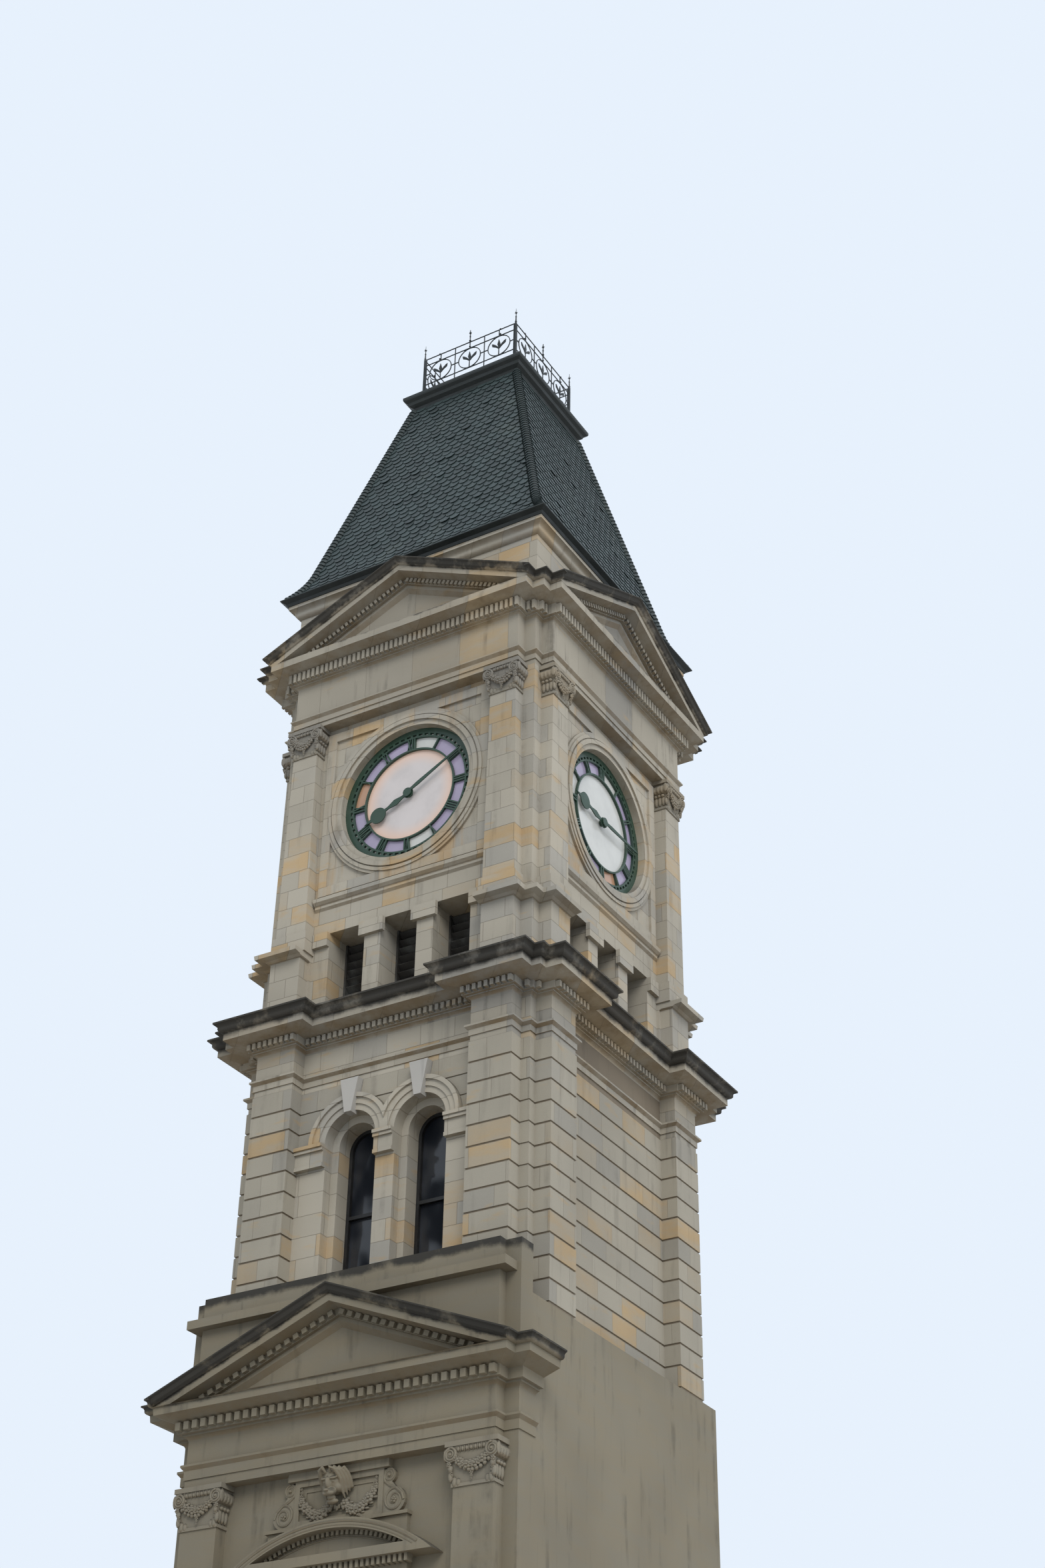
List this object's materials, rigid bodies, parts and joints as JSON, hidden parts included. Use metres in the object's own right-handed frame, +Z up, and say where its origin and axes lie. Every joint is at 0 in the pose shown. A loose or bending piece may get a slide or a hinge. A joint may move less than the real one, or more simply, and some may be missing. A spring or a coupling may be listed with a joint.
{
  "type": "clock tower",
  "caption": "Stone clock tower over a pedimented entrance pavilion, with round skeleton dials, a slate mansard roof and iron cresting",
  "frame": {"origin": "on the ground under the middle of the shaft", "axes": "+X right, +Y to the back, +Z up; the front dial faces -Y"},
  "size_m": [6.63, 7.115, 34.52],
  "materials": {
    "stone": "dressed blocks with open joints",
    "weathered_stone": "moulded and weathered",
    "stucco": "smooth render on masonry",
    "concrete": "plain floor",
    "door_paint": "painted",
    "sash_paint": "painted",
    "glass": "clear panes",
    "dial_glass": "opal and coloured panes",
    "dial_iron": "painted dark green",
    "slate": "fish-scale slates",
    "roof_metal": "painted dark green",
    "cresting_iron": "painted dark green"
  },
  "bodies": {
    "tower": {"attic": "stone", "base_back_wall": "stucco", "base_plinth": "stucco", "cartouche_panel": "stucco", "clock_capitals": "weathered_stone", "clock_entablature": "weathered_stone", "clock_pediments": "weathered_stone", "clock_pilasters": "stone", "clock_walls_front_back": "stone", "clock_walls_sides": "stone", "corner_pedestals": "stone", "cresting_panels": "cresting_iron", "cresting_posts": "cresting_iron", "dial_frames": "dial_iron", "dial_glass": "dial_glass", "dial_surrounds": "stone", "door_surround": "stucco", "entrance_doors": "door_paint", "far_dial_hands": "dial_iron", "first_front_wall": "stucco", "floor_slabs": "concrete", "ground_front_wall": "stucco", "gutter": "roof_metal", "hip_rolls": "roof_metal", "louvre_band": "stone", "louvre_blades": "sash_paint", "louvre_corners": "stone", "louvre_piers": "stone", "louvre_sill_course": "stone", "mansard_roof": "slate", "mid_entablature": "weathered_stone", "parapet": "stucco", "party_walls": "stucco", "pavilion_capitals": "stucco", "pavilion_entablature": "stucco", "pavilion_pediment": "stucco", "pavilion_pilasters": "stucco", "roof_cap": "roof_metal", "roof_deck": "concrete", "rusticated_piers": "stone", "shaft_side_walls": "stone", "shaft_window_walls": "stone", "storey_band": "stucco", "window_arches": "stone", "window_glass": "glass", "window_sashes": "sash_paint", "window_surround": "stucco"},
    "front_minute_hand": {"front_minute_hand": "dial_iron"},
    "front_hour_hand": {"front_hour_hand": "dial_iron"},
    "right_minute_hand": {"right_minute_hand": "dial_iron"},
    "right_hour_hand": {"right_hour_hand": "dial_iron"}
  },
  "joints": [
    {"name": "front_minute_turn", "type": "hinge", "parent": "tower", "child": "front_minute_hand", "pos_m": [0, -2.36, 22.72], "axis": [0, 1, 0], "continuous": true},
    {"name": "front_hour_turn", "type": "hinge", "parent": "tower", "child": "front_hour_hand", "pos_m": [0, -2.36, 22.72], "axis": [0, 1, 0], "continuous": true},
    {"name": "right_minute_turn", "type": "hinge", "parent": "tower", "child": "right_minute_hand", "pos_m": [2.36, 0, 22.72], "axis": [-1, 0, 0], "continuous": true},
    {"name": "right_hour_turn", "type": "hinge", "parent": "tower", "child": "right_hour_hand", "pos_m": [2.36, 0, 22.72], "axis": [-1, 0, 0], "continuous": true}
  ],
  "couplings": [
    {"joint": "front_hour_turn", "follows": "front_minute_turn", "ratio": 0.083333},
    {"joint": "right_minute_turn", "follows": "front_minute_turn", "ratio": 1},
    {"joint": "right_hour_turn", "follows": "front_minute_turn", "ratio": 0.083333}
  ]
}
